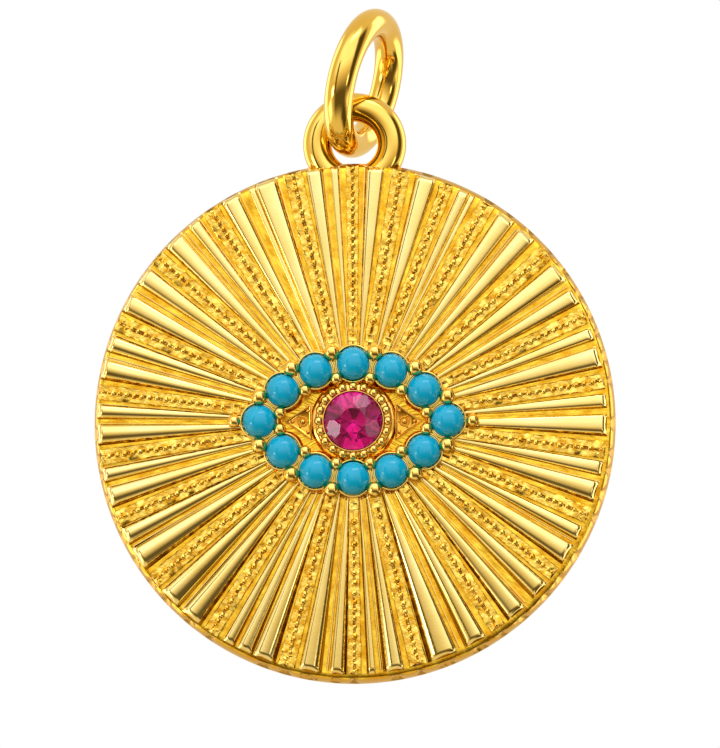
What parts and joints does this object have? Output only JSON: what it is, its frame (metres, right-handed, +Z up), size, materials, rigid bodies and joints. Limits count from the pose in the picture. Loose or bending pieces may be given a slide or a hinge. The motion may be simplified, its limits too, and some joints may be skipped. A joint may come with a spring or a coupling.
{
  "type": "evil eye pendant",
  "caption": "Round medallion pendant with sunburst relief and a stone-set eye, which hangs from a jump ring by a fixed loop.",
  "frame": {"origin": "top inside of the jump ring, where the chain runs", "axes": "+Z up along the hanging pendant, +X to the right as seen from the front, the front of the medallion faces -Y"},
  "size_m": [0.018, 0.0051, 0.0234],
  "materials": {
    "polished_gold": "gold plated and polished, grooves left as cast",
    "ruby": "faceted and polished",
    "turquoise": "polished dome"
  },
  "bodies": {
    "hanger": {"jump_ring": "polished_gold"},
    "pendant": {"medallion": "polished_gold", "ruby": "ruby", "turquoise_01": "turquoise", "turquoise_02": "turquoise", "turquoise_03": "turquoise", "turquoise_04": "turquoise", "turquoise_05": "turquoise", "turquoise_06": "turquoise", "turquoise_07": "turquoise", "turquoise_08": "turquoise", "turquoise_09": "turquoise", "turquoise_10": "turquoise", "turquoise_11": "turquoise", "turquoise_12": "turquoise"}
  },
  "joints": [
    {"name": "pendant_swing", "type": "hinge", "parent": "hanger", "child": "pendant", "pos_m": [-0.00072, 0.00028, -0.00369], "axis": [0, 1, 0], "range_deg": [-45, 45]}
  ]
}
